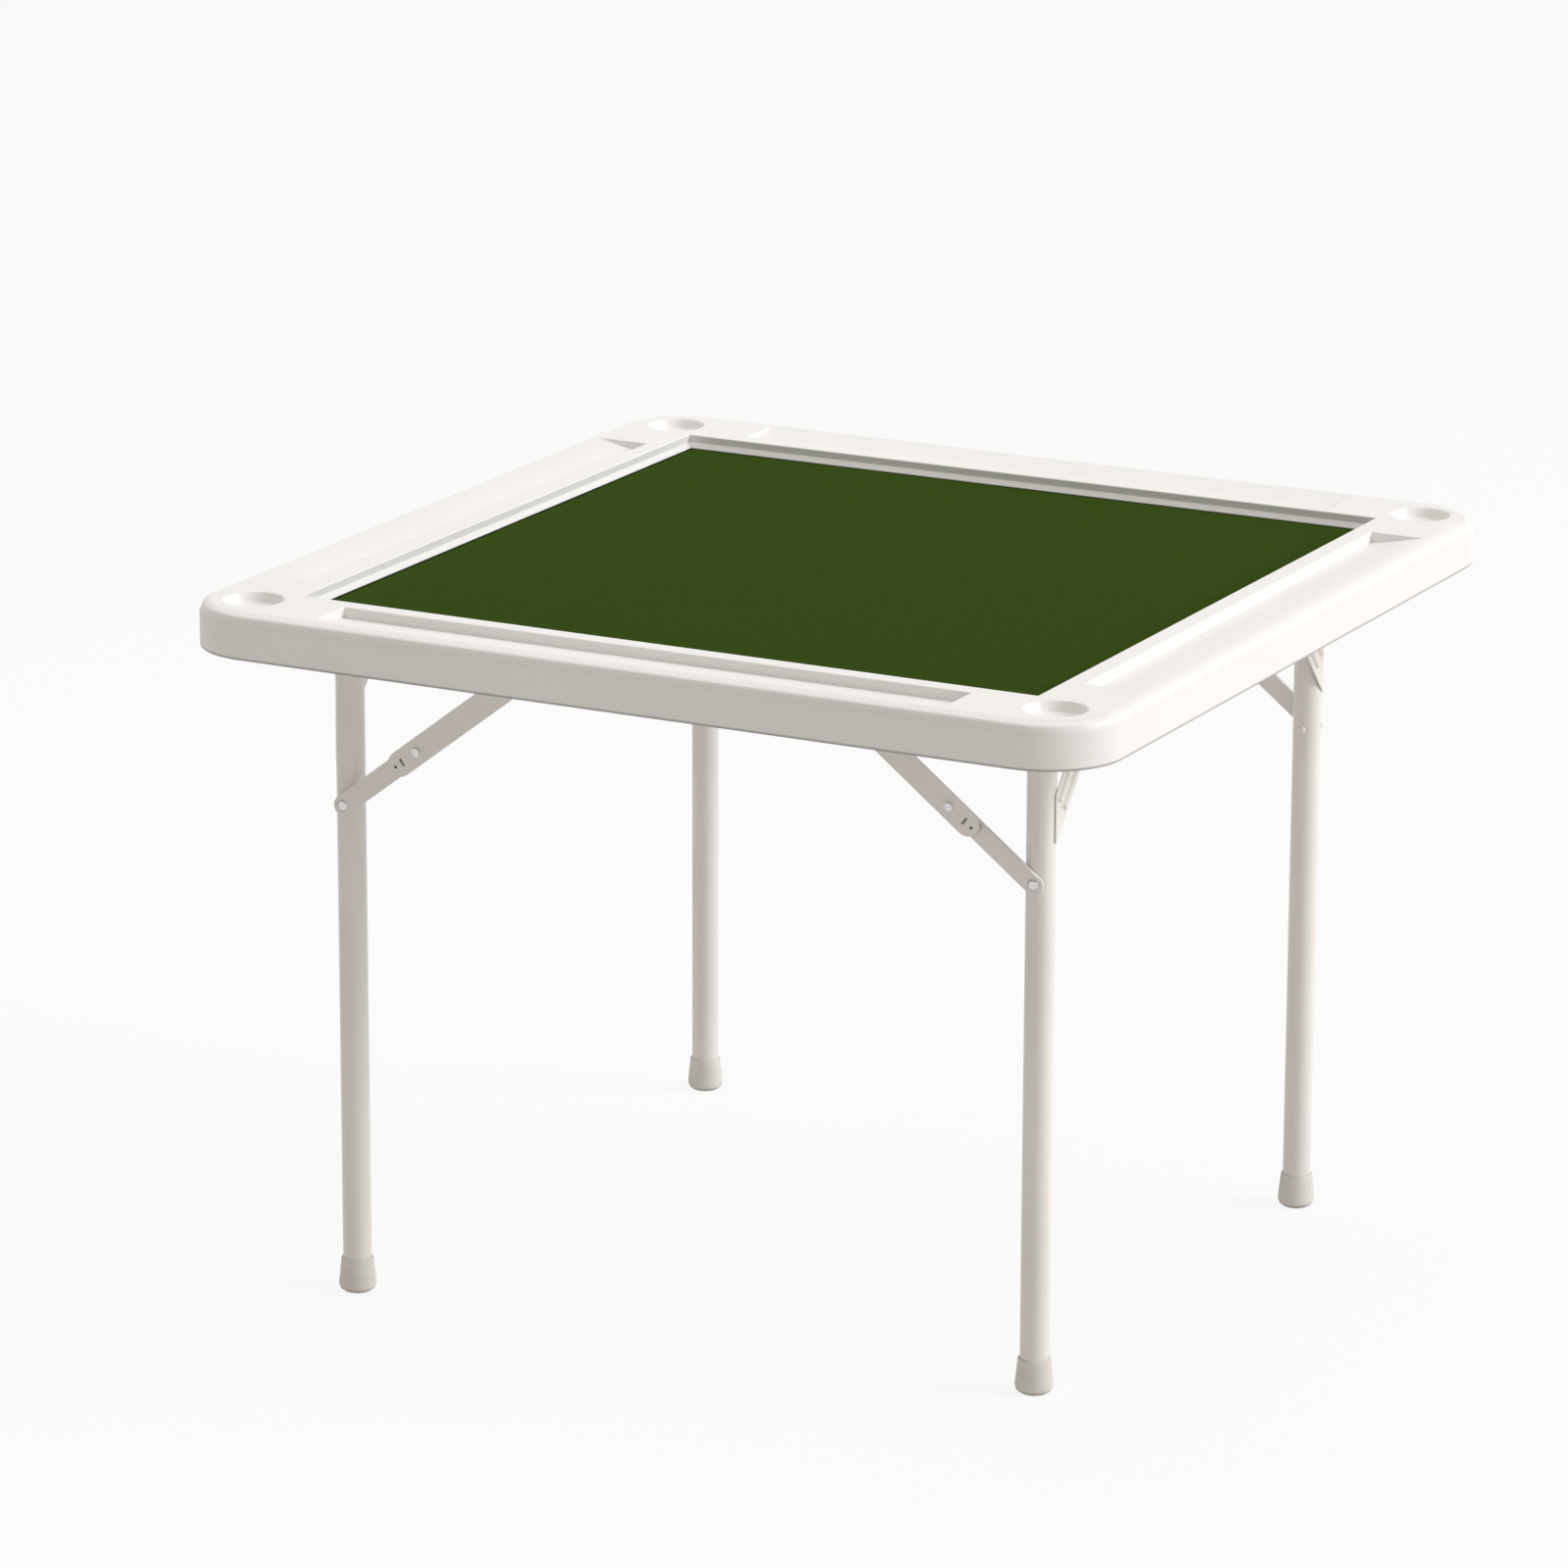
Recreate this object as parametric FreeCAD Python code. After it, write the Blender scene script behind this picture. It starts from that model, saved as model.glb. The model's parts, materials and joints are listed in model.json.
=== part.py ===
"""Folding mahjong table: a moulded square top with a felt field, trays and cups, carried by two
hinged tube frames that fold flat under it. A two-link stay holds each leg open.

Millimetres. The origin is on the floor under the middle of the top, +Z is up. The crossbars lie
along Y. The left frame (-X) is the wide one, and the narrow right frame (+X) folds up first.
"""
import FreeCAD
import Part
import os
from math import cos, hypot, pi, sin, tan

# Moulded top
TABLE_H = 702.0
TOP_SIDE = 960.0
TOP_CORNER_R = 75.0
TOP_EDGE_R = 12.0
SKIRT_H = 45.0
SKIRT_WALL = 3.5
RIM_W = 92.0
FIELD_DEPTH = 15.0
FIELD_FLOOR = 2.5
RIM_WALL = 3.5

# Trays along the rim and cup recesses in its corners
TRAY_INNER_LAND = 20.0
TRAY_OUTER_LAND = 16.0
TRAY_END_LAND = 58.0
TRAY_DEPTH = 11.0
CUP_D = 58.0
CUP_FLOOR_D = 51.0
CUP_DEPTH = 10.0
CUP_INSET = 58.0

# Felt mat lying in the field
FELT_T = 2.0
FELT_GAP = 1.0

# Lower skin of the top with its pressed pattern
PANEL_T = 4.0
PANEL_GAP = 0.5
SLOT_PITCH = 74.0
SLOT_COLUMNS = 9
SLOT_ROWS = 7
LONG_SLOT = (48.0, 11.0)
SHORT_SLOT = (15.0, 38.0)
DIMPLE_D = 26.0
DIMPLE_SIDES = 8
DIMPLE_PITCH = 104.0
DIMPLE_COUNT = 7
DIMPLE_INSET = 58.0
RIB_TEETH = 7
RIB_PITCH = 104.0
RIB_WAVE = 20.0
RIB_T = 3.0
RIB_H = 11.0
RIB_INSET = 18.0

# Tube frames
TUBE_D = 28.0
TUBE_WALL = 1.5
HINGE_INSET = 126.0
LEG_INSET = 120.0
COPE_DROP = 6.0
WELD_GAP = 0.1
FOLD_GAP = 1.0

# Foot caps
FOOT_D = 37.0
FOOT_TOP_D = 31.6
FOOT_BASE_D = 27.0
FOOT_EDGE_D = 34.0
FOOT_EDGE_H = 2.6
FOOT_WIDEST_H = 7.0
FOOT_H = 34.0
FOOT_SIDES = 24
FOOT_FLOOR = 5.0
FOOT_FIT = 0.1

# Gusset strips between leg and crossbar
GUSSET_W = 31.0
GUSSET_T = 1.6
GUSSET_LEG_REACH = 97.0
GUSSET_BAR_REACH = 84.0
GUSSET_LAP = 1.5
GUSSET_SEAT = 0.3
BEAD_W = 8.0
BEAD_H = 2.5
BEAD_PITCH = 14.0
BEAD_END = 14.0

# Folding stays
STAY_DROP = 160.0
STAY_REACH = 208.0
LOWER_LINK_W = 20.0
UPPER_LINK_W = 25.0
LINK_T = 2.2
LINK_GAP = 0.3
LINK_TAIL = 23.5
LIP_T = 1.6
LIP_GAP = 0.4
LOCK_SLOT = (3.0, 8.0)
LOCK_SLOT_AT = 20.0
RIVET_D = 6.0
RIVET_HEAD_D = 9.5
RIVET_HEAD_H = 2.0
RIVET_HEAD_SIDES = 12
PIN_HEAD_H = 1.5
SPACER_D = 15.0
ROUND_SIDES = 8
RUN_FIT = 0.08
PRESS_FIT = 0.05
STUD_SEAT = 0.02

# Brackets, sockets, saddles and clips under the panel
BRACKET_T = 2.5
BRACKET_EAR_W = 26.0
BRACKET_FLANGE_L = 46.0
BRACKET_FLANGE_W = 20.0
SOCKET_SPACE = 1.0
SOCKET_DEPTH = 9.0
SOCKET_CAP = 3.0
BLOCK_WALL = 4.0
BLOCK_FLANGE_W = 66.0
BLOCK_FLANGE_T = 3.5
SADDLE_L = 24.0
NEST_GAP = 1.5
CLIP_L = 26.0
CLIP_WALL = 2.5
CLIP_FIT = 0.4
CLIP_PAST_AXIS = 3.0
CLIP_FLARE = 3.0
CLIP_GAP = 3.0

# Places that follow from the sizes above
HALF_TOP = TOP_SIDE / 2
HALF_FIELD = HALF_TOP - RIM_W
SKIRT_Z = TABLE_H - SKIRT_H
FIELD_Z = TABLE_H - FIELD_DEPTH
CEILING_Z = FIELD_Z - FIELD_FLOOR
PANEL_Z = CEILING_Z - PANEL_T
HALF_PANEL = HALF_TOP - SKIRT_WALL - PANEL_GAP
TRAY_IN = HALF_FIELD + TRAY_INNER_LAND
TRAY_OUT = HALF_TOP - TRAY_OUTER_LAND
HALF_TRAY_L = HALF_FIELD - TRAY_END_LAND
TUBE_R = TUBE_D / 2
HINGE_X = HALF_TOP - HINGE_INSET
NARROW_HINGE_Z = PANEL_Z - FOOT_D / 2 - FOLD_GAP
WIDE_HINGE_Z = NARROW_HINGE_Z - (FOOT_D - TUBE_D) / 2 - FOLD_GAP

# Layers of the stay, measured from the leg's axis outwards
LOWER_IN = TUBE_R + LINK_GAP
LOWER_OUT = LOWER_IN + LINK_T
UPPER_IN = LOWER_OUT + RIVET_HEAD_H + LINK_GAP
UPPER_OUT = UPPER_IN + LINK_T
EAR_IN = UPPER_OUT + LINK_GAP
EAR_OUT = EAR_IN + BRACKET_T
SOCKET_IN = UPPER_OUT + SOCKET_SPACE
SOCKET_OUT = SOCKET_IN + SOCKET_DEPTH + SOCKET_CAP

# The narrow frame nests inside the wide one when both are folded
WIDE_LEG_Y = HALF_TOP - LEG_INSET
NARROW_LEG_Y = WIDE_LEG_Y - FOOT_D / 2 - NEST_GAP - SOCKET_OUT

# Link lengths for a stay that is straight when open and lies flat when folded
STAY_SPAN = hypot(STAY_DROP, STAY_REACH)
LOWER_LINK_L = (STAY_SPAN - (STAY_REACH - STAY_DROP)) / 2
UPPER_LINK_L = STAY_SPAN - LOWER_LINK_L

X_AXIS = FreeCAD.Vector(1, 0, 0)
Y_AXIS = FreeCAD.Vector(0, 1, 0)
Z_AXIS = FreeCAD.Vector(0, 0, 1)
ORIGIN = FreeCAD.Vector(0, 0, 0)

FRAMES = {
    "left": {"side": -1, "leg_y": WIDE_LEG_Y, "hinge_z": WIDE_HINGE_Z, "ends": {"fl": -1, "bl": 1}},
    "right": {"side": 1, "leg_y": NARROW_LEG_Y, "hinge_z": NARROW_HINGE_Z, "ends": {"fr": -1, "br": 1}},
}


def at(x, y, z):
    return FreeCAD.Vector(x, y, z)


def outline(start, *steps):
    """A closed wire: a step is a corner, or a pair of a point on an arc and the arc's end."""
    edges = []
    here = start
    for step in steps + (start,):
        if isinstance(step, tuple):
            middle, end = step
            edges.append(Part.Arc(here, middle, end).toShape())
            here = end
        elif (step - here).Length > 1e-9:
            edges.append(Part.LineSegment(here, step).toShape())
            here = step
    return Part.Wire(edges)


def circle(center, radius, axis):
    return Part.Wire([Part.makeCircle(radius, center, axis)])


def slab(wires, push):
    """Extrude a flat outline with its holes."""
    return Part.makeFace(wires, "Part::FaceMakerBullseye").extrude(push)


def rounded_square(half, radius, z):
    flat = half - radius
    bulge = flat + radius * 0.5 ** 0.5
    return outline(
        at(-flat, -half, z),
        at(flat, -half, z), (at(bulge, -bulge, z), at(half, -flat, z)),
        at(half, flat, z), (at(bulge, bulge, z), at(flat, half, z)),
        at(-flat, half, z), (at(-bulge, bulge, z), at(-half, flat, z)),
        at(-half, -flat, z), (at(-bulge, -bulge, z), at(-flat, -half, z)),
    )


def rectangle(x, y, size_x, size_y, z):
    half_x = size_x / 2
    half_y = size_y / 2
    return outline(
        at(x - half_x, y - half_y, z),
        at(x + half_x, y - half_y, z),
        at(x + half_x, y + half_y, z),
        at(x - half_x, y + half_y, z),
    )


def half_round(center, start, crown):
    """Corners of a half turn about a point, of short straight sides: out at start, over crown and back."""
    turns = [pi * side / ROUND_SIDES for side in range(ROUND_SIDES + 1)]
    return [center + start * cos(t) + crown * sin(t) for t in turns]


def stadium(first, last, radius, normal):
    """A strip outline with round ends about two points."""
    along = (last - first).normalize() * radius
    aside = normal.cross(along)
    return outline(*half_round(last, aside, along), *half_round(first, aside * -1, along * -1))


def corners(center, radius, sides, across, up):
    """The corners of a regular shape round a point."""
    turns = [2 * pi * (side + 0.5) / sides for side in range(sides)]
    return [center + across * (radius * cos(t)) + up * (radius * sin(t)) for t in turns]


def many_sided(center, radius, sides, across, up):
    return outline(*corners(center, radius, sides, across, up))


def rod(start, axis, radius, length):
    return Part.makeCylinder(radius, length, start, axis)


def mirrored(shape, side, end):
    """Put a piece made for the back right corner at another corner."""
    if side < 0:
        shape = shape.mirror(ORIGIN, X_AXIS)
    if end < 0:
        shape = shape.mirror(ORIGIN, Y_AXIS)
    return shape


def four_sides(shape):
    return [shape.rotated(ORIGIN, Z_AXIS, 90 * turn) for turn in range(4)]


def eased_top_edge(body):
    """Take the top edge off in two bands, one steep and one flat, that follow a round of TOP_EDGE_R."""
    steep_run = TOP_EDGE_R * tan(pi / 8)
    flat_run = TOP_EDGE_R - steep_run
    down_steep_band = TOP_EDGE_R * (1 - cos(pi / 4)) / cos(pi / 8)
    for down, inward in ((TOP_EDGE_R, steep_run), (down_steep_band, flat_run)):
        top_edges = [e for e in body.Edges if e.BoundBox.ZMin > TABLE_H - 1e-6]
        body = body.makeChamfer(down, inward, top_edges)
    return body


def table_top():
    body = slab([rounded_square(HALF_TOP, TOP_CORNER_R, SKIRT_Z)], Z_AXIS * SKIRT_H)
    body = eased_top_edge(body)
    hollow = slab([rounded_square(HALF_TOP - SKIRT_WALL, TOP_CORNER_R - SKIRT_WALL, SKIRT_Z)],
                  Z_AXIS * (CEILING_Z - SKIRT_Z))
    field = slab([rectangle(0, 0, 2 * HALF_FIELD, 2 * HALF_FIELD, FIELD_Z)], Z_AXIS * FIELD_DEPTH)
    cuts = [hollow, field]
    tray_floor_z = TABLE_H - TRAY_DEPTH
    tray_push = X_AXIS * (2 * HALF_TRAY_L)
    tray = slab([outline(
        at(-HALF_TRAY_L, TRAY_IN, tray_floor_z),
        at(-HALF_TRAY_L, TRAY_OUT, TABLE_H),
        at(-HALF_TRAY_L, TRAY_OUT, TABLE_H + TRAY_DEPTH),
        at(-HALF_TRAY_L, TRAY_IN, TABLE_H + TRAY_DEPTH),
    )], tray_push)
    rim_hollow_out = HALF_TOP - TRAY_OUTER_LAND / 2
    rim_hollow = slab([outline(
        at(-HALF_TRAY_L, TRAY_IN, CEILING_Z),
        at(-HALF_TRAY_L, TRAY_IN, tray_floor_z - RIM_WALL),
        at(-HALF_TRAY_L, TRAY_OUT, TABLE_H - RIM_WALL),
        at(-HALF_TRAY_L, rim_hollow_out, TABLE_H - 2 * RIM_WALL),
        at(-HALF_TRAY_L, rim_hollow_out, CEILING_Z),
    )], tray_push)
    cup_at = HALF_TOP - CUP_INSET
    cup = Part.makeCone(CUP_FLOOR_D / 2, CUP_D / 2, CUP_DEPTH, at(cup_at, cup_at, TABLE_H - CUP_DEPTH))
    for shape in (tray, rim_hollow, cup):
        cuts += four_sides(shape)
    return body.cut(cuts)


def felt_mat():
    side = 2 * (HALF_FIELD - FELT_GAP)
    return slab([rectangle(0, 0, side, side, FIELD_Z)], Z_AXIS * FELT_T)


def castellated_rib():
    """A square wave wall along the +Y edge of the panel, hanging from its lower face."""
    outer_y = HALF_PANEL - RIB_INSET
    inner_y = outer_y - RIB_WAVE
    half_t = RIB_T / 2
    half_run = RIB_TEETH * RIB_PITCH / 2
    upper = []
    lower = []
    for tooth in range(RIB_TEETH):
        rise = -half_run + (tooth + 0.25) * RIB_PITCH
        drop = rise + RIB_PITCH / 2
        upper += [(rise - half_t, inner_y + half_t), (rise - half_t, outer_y + half_t),
                  (drop + half_t, outer_y + half_t), (drop + half_t, inner_y + half_t)]
        lower += [(rise + half_t, inner_y - half_t), (rise + half_t, outer_y - half_t),
                  (drop - half_t, outer_y - half_t), (drop - half_t, inner_y - half_t)]
    upper = [(-half_run, inner_y + half_t)] + upper + [(half_run, inner_y + half_t)]
    lower = [(-half_run, inner_y - half_t)] + lower + [(half_run, inner_y - half_t)]
    wave = [at(x, y, PANEL_Z) for x, y in upper + lower[::-1]]
    return slab([outline(*wave)], Z_AXIS * -RIB_H)


def underside_panel():
    wires = [rounded_square(HALF_PANEL, TOP_CORNER_R - SKIRT_WALL - PANEL_GAP, PANEL_Z)]
    for column in range(SLOT_COLUMNS):
        for row in range(SLOT_ROWS):
            x = (column - (SLOT_COLUMNS - 1) / 2) * SLOT_PITCH
            y = (row - (SLOT_ROWS - 1) / 2) * SLOT_PITCH
            size = LONG_SLOT if (column + row) % 2 else SHORT_SLOT
            wires.append(rectangle(x, y, *size, PANEL_Z))
    for dimple in range(DIMPLE_COUNT):
        y = (dimple - (DIMPLE_COUNT - 1) / 2) * DIMPLE_PITCH
        center = at(HALF_TOP - DIMPLE_INSET, y, PANEL_Z)
        wires.append(many_sided(center, DIMPLE_D / 2, DIMPLE_SIDES, X_AXIS, Y_AXIS))
    panel = slab(wires, Z_AXIS * PANEL_T)
    rib = castellated_rib()
    return panel.fuse([rib.rotated(ORIGIN, Z_AXIS, turn) for turn in (0, 90, 180)])


def crossbar(leg_y, hinge_z):
    length = 2 * (leg_y + SOCKET_IN + SOCKET_DEPTH - LINK_GAP)
    start = at(HINGE_X, -length / 2, hinge_z)
    bar = rod(start, Y_AXIS, TUBE_R, length)
    return bar.cut(rod(start, Y_AXIS, TUBE_R - TUBE_WALL, length))


def leg(leg_y, hinge_z):
    length = hinge_z - COPE_DROP - FOOT_FLOOR
    start = at(HINGE_X, leg_y, FOOT_FLOOR)
    tube = rod(start, Z_AXIS, TUBE_R, length)
    bore = rod(start, Z_AXIS, TUBE_R - TUBE_WALL, length)
    cope = rod(at(HINGE_X, leg_y - TUBE_D, hinge_z), Y_AXIS, TUBE_R + WELD_GAP, 2 * TUBE_D)
    return tube.cut([bore, cope])


def foot(leg_y):
    """A cap in flat sides that swells towards the floor and turns in at its base, bored for the tube."""
    axis = at(HINGE_X, leg_y, 0)
    sections = ((FOOT_BASE_D, 0), (FOOT_EDGE_D, FOOT_EDGE_H), (FOOT_D, FOOT_WIDEST_H), (FOOT_TOP_D, FOOT_H))
    rings = [
        corners(axis + Z_AXIS * height, size / 2, FOOT_SIDES, X_AXIS, Y_AXIS)
        for size, height in sections
    ]
    faces = [Part.Face(outline(*ring)) for ring in (rings[0], rings[-1])]
    for low, high in zip(rings, rings[1:]):
        for side in range(FOOT_SIDES):
            faces.append(Part.Face(outline(low[side - 1], low[side], high[side], high[side - 1])))
    cap = Part.makeSolid(Part.makeShell(faces))
    return cap.cut(rod(axis + Z_AXIS * FOOT_FLOOR, Z_AXIS, TUBE_R + FOOT_FIT, FOOT_H))


def gusset(leg_y, hinge_z):
    """A ridged strip across the corner, its ends cut along the leg and the crossbar that it laps."""
    near_x = HINGE_X + TUBE_R + GUSSET_SEAT
    low = at(near_x, leg_y, hinge_z - GUSSET_LEG_REACH)
    high = at(near_x, leg_y - GUSSET_BAR_REACH, hinge_z)
    along = (high - low).normalize()
    aside = X_AXIS.cross(along)
    leg_end = low + along * (GUSSET_LAP / along.y)
    bar_end = high + along * (GUSSET_LAP / along.z)
    leg_half = Z_AXIS * (GUSSET_W / 2 / along.y)
    bar_half = Y_AXIS * (GUSSET_W / 2 / along.z)
    edge = outline(leg_end + leg_half, leg_end - leg_half, bar_end + bar_half, bar_end - bar_half)
    strip = slab([edge], X_AXIS * GUSSET_T)
    bead_l = (high - low).Length - 2 * BEAD_END
    beads = []
    for side in (-1, 1):
        bead_start = low + along * BEAD_END + aside * (side * BEAD_PITCH / 2) + X_AXIS * GUSSET_T
        beads.append(bead(bead_start, along, aside, bead_l))
    return strip.fuse(beads)


def bead(start, along, aside, length):
    """A pressed ridge that narrows as it rises from its strip."""
    foot_half = aside * (BEAD_W / 2)
    crest_half = aside * (BEAD_W / 4)
    rise = X_AXIS * BEAD_H
    section = outline(
        start - foot_half,
        start + foot_half,
        start + crest_half + rise,
        start - crest_half + rise,
    )
    return slab([section], along * length)


def stay_points(leg_y, hinge_z):
    """The stay's leg rivet, mid rivet and bracket pivot on the leg's axis plane, and its direction."""
    leg_rivet = at(HINGE_X, leg_y, hinge_z - STAY_DROP)
    pivot = at(HINGE_X - STAY_REACH, leg_y, hinge_z)
    along = (pivot - leg_rivet).normalize()
    return leg_rivet, leg_rivet + along * LOWER_LINK_L, pivot, along


def stay_lower(leg_y, hinge_z):
    """The shorter link. The lip on its upper edge and the rivet's spacer pass under the upper link."""
    leg_rivet, middle, _, along = stay_points(leg_y, hinge_z)
    lift = Y_AXIS * LOWER_IN
    strip = stadium(leg_rivet + lift, middle + lift, LOWER_LINK_W / 2, Y_AXIS)
    hole = circle(leg_rivet + lift, RIVET_D / 2 + RUN_FIT, Y_AXIS)
    face = Y_AXIS * LOWER_OUT
    upward = Y_AXIS.cross(along)
    edge = face + upward * (LOWER_LINK_W / 2)
    bend = face + upward * (LOWER_LINK_W / 2 - LIP_T)
    lip_wire = outline(leg_rivet + edge, middle + edge, middle + bend, leg_rivet + bend)
    lip = slab([lip_wire], Y_AXIS * (UPPER_IN - LIP_GAP - LOWER_OUT))
    spacer_wire = many_sided(middle + face, SPACER_D / 2, RIVET_HEAD_SIDES, X_AXIS, Z_AXIS)
    spacer = slab([spacer_wire], Y_AXIS * (UPPER_IN - LINK_GAP - LOWER_OUT))
    return slab([strip, hole], Y_AXIS * LINK_T).fuse([lip, spacer]).removeSplitter()


def stay_upper(leg_y, hinge_z):
    """The longer link, with the closed head of the stay's middle rivet."""
    _, middle, pivot, along = stay_points(leg_y, hinge_z)
    lift = Y_AXIS * UPPER_IN
    aside = Y_AXIS.cross(along)
    tail = middle - along * LINK_TAIL
    slot_at = middle - along * LOCK_SLOT_AT + lift
    slot_w = along * (LOCK_SLOT[0] / 2)
    slot_l = aside * (LOCK_SLOT[1] / 2)
    strip = slab([
        stadium(tail + lift, pivot + lift, UPPER_LINK_W / 2, Y_AXIS),
        circle(pivot + lift, RIVET_D / 2 + RUN_FIT, Y_AXIS),
        outline(slot_at + slot_w + slot_l, slot_at + slot_w - slot_l,
                slot_at - slot_w - slot_l, slot_at - slot_w + slot_l),
    ], Y_AXIS * LINK_T)
    return strip.fuse(rivet_head(middle + Y_AXIS * UPPER_OUT, RIVET_HEAD_H))


def rivet_head(start, height):
    wire = many_sided(start, RIVET_HEAD_D / 2, RIVET_HEAD_SIDES, X_AXIS, Z_AXIS)
    return slab([wire], Y_AXIS * height)


def leg_stud(leg_y, hinge_z):
    """Welded to the side of the tube, with its head closed over the lower link."""
    center = stay_points(leg_y, hinge_z)[0]
    inner_y = TUBE_R + STUD_SEAT
    head_y = LOWER_OUT + PRESS_FIT
    shank = rod(center + Y_AXIS * inner_y, Y_AXIS, RIVET_D / 2, head_y - inner_y)
    return shank.fuse(rivet_head(center + Y_AXIS * head_y, RIVET_HEAD_H - PRESS_FIT))


def stay_pin(leg_y, hinge_z):
    """Holds the upper link against the ear of its bracket."""
    center = stay_points(leg_y, hinge_z)[2]
    head_y = UPPER_IN - PRESS_FIT - PIN_HEAD_H
    inner_y = UPPER_IN - PRESS_FIT
    shank = rod(center + Y_AXIS * inner_y, Y_AXIS, RIVET_D / 2, EAR_OUT - inner_y)
    return shank.fuse(rivet_head(center + Y_AXIS * head_y, PIN_HEAD_H))


def stay_bracket(leg_y, hinge_z):
    """An angle screwed under the panel, with a round ear for the stay's pin."""
    pivot = stay_points(leg_y, hinge_z)[2] + Y_AXIS * EAR_IN
    half_w = BRACKET_EAR_W / 2
    half_l = BRACKET_FLANGE_L / 2
    rise = Z_AXIS * (PANEL_Z - hinge_z)
    knee = Z_AXIS * (PANEL_Z - hinge_z - BRACKET_T)
    ear = outline(
        pivot + X_AXIS * half_l + rise,
        pivot - X_AXIS * half_l + rise,
        pivot - X_AXIS * half_l + knee,
        *half_round(pivot, X_AXIS * -half_w, Z_AXIS * -half_w),
        pivot + X_AXIS * half_l + knee,
    )
    pin_hole = circle(pivot, RIVET_D / 2 + PRESS_FIT, Y_AXIS)
    flange = Part.makeBox(BRACKET_FLANGE_L, BRACKET_FLANGE_W, BRACKET_T,
                          pivot - X_AXIS * half_l + knee)
    return slab([ear, pin_hole], Y_AXIS * BRACKET_T).fuse(flange).removeSplitter()


def socket_outline(y, hinge_z):
    """A bearing block seen along the crossbar: a flange on the panel and a round end below."""
    half_flange = BLOCK_FLANGE_W / 2
    wall_r = TUBE_R + BLOCK_WALL
    flange_z = PANEL_Z - BLOCK_FLANGE_T
    axis = at(HINGE_X, y, hinge_z)
    return outline(
        at(HINGE_X - half_flange, y, PANEL_Z),
        at(HINGE_X + half_flange, y, PANEL_Z),
        at(HINGE_X + half_flange, y, flange_z),
        at(HINGE_X + wall_r, y, flange_z),
        *half_round(axis, X_AXIS * wall_r, Z_AXIS * -wall_r),
        at(HINGE_X - wall_r, y, flange_z),
        at(HINGE_X - half_flange, y, flange_z),
    )


def end_socket(leg_y, hinge_z):
    """A blind bearing for one end of a crossbar."""
    start_y = leg_y + SOCKET_IN
    cap_y = start_y + SOCKET_DEPTH
    bore = circle(at(HINGE_X, start_y, hinge_z), TUBE_R + RUN_FIT, Y_AXIS)
    ring = slab([socket_outline(start_y, hinge_z), bore], Y_AXIS * SOCKET_DEPTH)
    cap = slab([socket_outline(cap_y, hinge_z)], Y_AXIS * SOCKET_CAP)
    return ring.fuse(cap).removeSplitter()


def centre_saddle(hinge_z):
    """A strap under the middle of a crossbar, screwed to the panel by its two flanges."""
    y = -SADDLE_L / 2
    half_flange = BLOCK_FLANGE_W / 2
    inner_r = TUBE_R + RUN_FIT
    outer_r = TUBE_R + BLOCK_WALL
    flange_z = PANEL_Z - BLOCK_FLANGE_T
    axis = at(HINGE_X, y, hinge_z)
    strap = outline(
        at(HINGE_X - half_flange, y, PANEL_Z),
        at(HINGE_X - inner_r, y, PANEL_Z),
        axis - X_AXIS * inner_r, (axis - Z_AXIS * inner_r, axis + X_AXIS * inner_r),
        at(HINGE_X + inner_r, y, PANEL_Z),
        at(HINGE_X + half_flange, y, PANEL_Z),
        at(HINGE_X + half_flange, y, flange_z),
        at(HINGE_X + outer_r, y, flange_z),
        *half_round(axis, X_AXIS * outer_r, Z_AXIS * -outer_r),
        at(HINGE_X - outer_r, y, flange_z),
        at(HINGE_X - half_flange, y, flange_z),
    )
    return slab([strap], Y_AXIS * SADDLE_L)


def leg_clip(leg_y, hinge_z):
    """A channel that the folded leg presses into, just short of its foot and clear of the far bracket."""
    foot_top_x = HINGE_X - hinge_z + FOOT_H
    start_x = foot_top_x + CLIP_GAP
    far_bracket_x = STAY_REACH - HINGE_X
    bracket_reach = BRACKET_FLANGE_L / 2 + CLIP_GAP
    if far_bracket_x - bracket_reach - CLIP_L < start_x < far_bracket_x + bracket_reach:
        start_x = far_bracket_x + bracket_reach
    inner = TUBE_R + CLIP_FIT
    outer = inner + CLIP_WALL
    crown_z = PANEL_Z - CLIP_WALL
    mouth_z = hinge_z - CLIP_PAST_AXIS
    flare_z = mouth_z - CLIP_FLARE
    channel = outline(
        at(start_x, leg_y - outer, PANEL_Z),
        at(start_x, leg_y + outer, PANEL_Z),
        at(start_x, leg_y + outer, mouth_z),
        at(start_x, leg_y + outer + CLIP_FLARE, flare_z),
        at(start_x, leg_y + inner + CLIP_FLARE, flare_z),
        at(start_x, leg_y + inner, mouth_z),
        at(start_x, leg_y + inner, crown_z),
        at(start_x, leg_y - inner, crown_z),
        at(start_x, leg_y - inner, mouth_z),
        at(start_x, leg_y - inner - CLIP_FLARE, flare_z),
        at(start_x, leg_y - outer - CLIP_FLARE, flare_z),
        at(start_x, leg_y - outer, mouth_z),
    )
    return slab([channel], X_AXIS * CLIP_L)


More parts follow.
